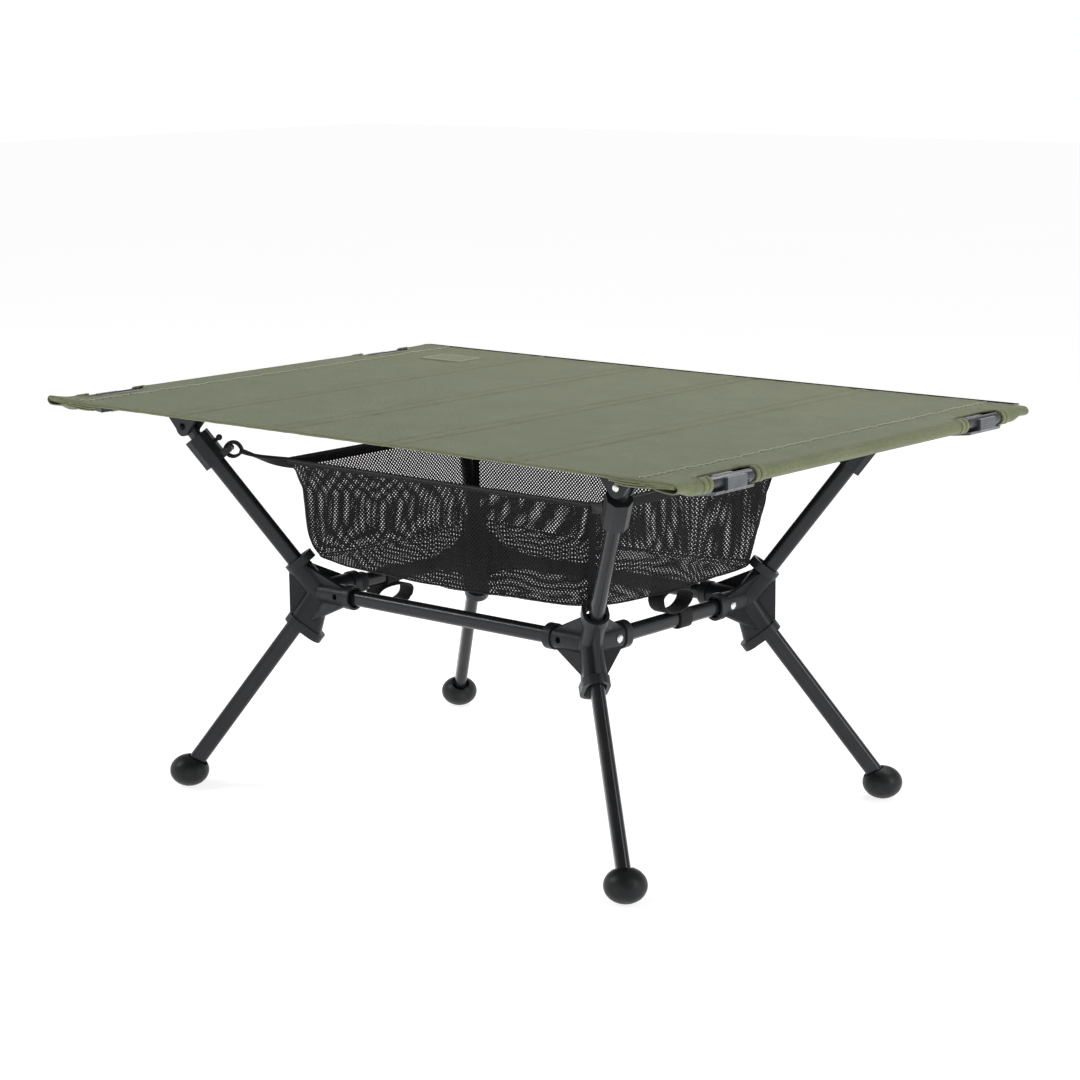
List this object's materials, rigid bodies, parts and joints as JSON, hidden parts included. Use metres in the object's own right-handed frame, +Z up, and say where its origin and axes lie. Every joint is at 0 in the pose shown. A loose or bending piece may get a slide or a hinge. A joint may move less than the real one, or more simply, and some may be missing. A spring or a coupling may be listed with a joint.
{
  "type": "camp kitchen table",
  "caption": "Folding camp kitchen table: stretched fabric top on splayed poles with moulded hubs, ball feet and a mesh basket underneath.",
  "frame": {"origin": "on the ground under the middle of the table", "axes": "+X along the tabletop's long side, +Y from the front to the back, +Z up"},
  "size_m": [0.8084, 0.554, 0.4],
  "materials": {
    "hub_plastic": "moulded, satin",
    "clip_plastic": "moulded, semi-gloss",
    "frame_tube": "black anodised, satin",
    "rail_tube": "dark anodised, satin",
    "foot_rubber": "satin",
    "shock_cord": "braided cover",
    "rivet_steel": "plated",
    "batten_alloy": "mill finish",
    "top_cloth": "woven polyester",
    "hem_cloth": "folded and bound edge",
    "label_cloth": "woven patch, blank",
    "basket_net": "open knitted net",
    "webbing": "ribbed webbing"
  },
  "bodies": {
    "frame": {"hub_front_right": "hub_plastic", "hub_back_right": "hub_plastic", "hub_front_left": "hub_plastic", "hub_back_left": "hub_plastic", "arm_front_right": "frame_tube", "arm_back_right": "frame_tube", "arm_front_left": "frame_tube", "arm_back_left": "frame_tube", "arm_sleeve_front_right": "hub_plastic", "arm_sleeve_back_right": "hub_plastic", "arm_sleeve_front_left": "hub_plastic", "arm_sleeve_back_left": "hub_plastic", "bracket_front_right": "hub_plastic", "bracket_back_right": "hub_plastic", "bracket_front_left": "hub_plastic", "bracket_back_left": "hub_plastic", "pole_clip_front_right": "clip_plastic", "pole_clip_back_right": "clip_plastic", "pole_clip_front_left": "clip_plastic", "pole_clip_back_left": "clip_plastic", "arm_cords": "shock_cord", "pivot_rivets": "rivet_steel", "rail_front": "rail_tube", "rail_back": "rail_tube", "long_strut_front": "frame_tube", "long_strut_back": "frame_tube", "short_strut_right": "frame_tube", "short_strut_left": "frame_tube", "long_strut_pins": "rivet_steel", "short_strut_rivets": "rivet_steel", "strap_right": "webbing", "strap_left": "webbing", "basket_mesh": "basket_net", "basket_rim": "webbing", "basket_tabs": "webbing"},
    "tabletop": {"top_fabric": "top_cloth", "hem_front": "hem_cloth", "hem_back": "hem_cloth", "label_patch": "label_cloth", "end_pole_right": "rail_tube", "end_pole_left": "rail_tube", "batten_1": "batten_alloy", "batten_2": "batten_alloy", "batten_3": "batten_alloy", "batten_4": "batten_alloy"},
    "leg_front_right": {"leg_front_right": "frame_tube", "foot_front_right": "foot_rubber", "leg_cord_front_right": "shock_cord"},
    "leg_back_right": {"leg_back_right": "frame_tube", "foot_back_right": "foot_rubber", "leg_cord_back_right": "shock_cord"},
    "leg_front_left": {"leg_front_left": "frame_tube", "foot_front_left": "foot_rubber", "leg_cord_front_left": "shock_cord"},
    "leg_back_left": {"leg_back_left": "frame_tube", "foot_back_left": "foot_rubber", "leg_cord_back_left": "shock_cord"}
  },
  "joints": [
    {"name": "top_lift", "type": "slide", "parent": "frame", "child": "tabletop", "axis": [0, 0, 1], "range_m": [0, 0.05]},
    {"name": "leg_pull_front_right", "type": "slide", "parent": "frame", "child": "leg_front_right", "axis": [0.4698, -0.3671, -0.8028], "range_m": [0, 0.036], "stiffness_N_per_m": 150, "springref_m": -0.02},
    {"name": "leg_pull_back_right", "type": "slide", "parent": "frame", "child": "leg_back_right", "axis": [0.4698, 0.3671, -0.8028], "range_m": [0, 0.036], "stiffness_N_per_m": 150, "springref_m": -0.02},
    {"name": "leg_pull_front_left", "type": "slide", "parent": "frame", "child": "leg_front_left", "axis": [-0.4698, -0.3671, -0.8028], "range_m": [0, 0.036], "stiffness_N_per_m": 150, "springref_m": -0.02},
    {"name": "leg_pull_back_left", "type": "slide", "parent": "frame", "child": "leg_back_left", "axis": [-0.4698, 0.3671, -0.8028], "range_m": [0, 0.036], "stiffness_N_per_m": 150, "springref_m": -0.02}
  ]
}
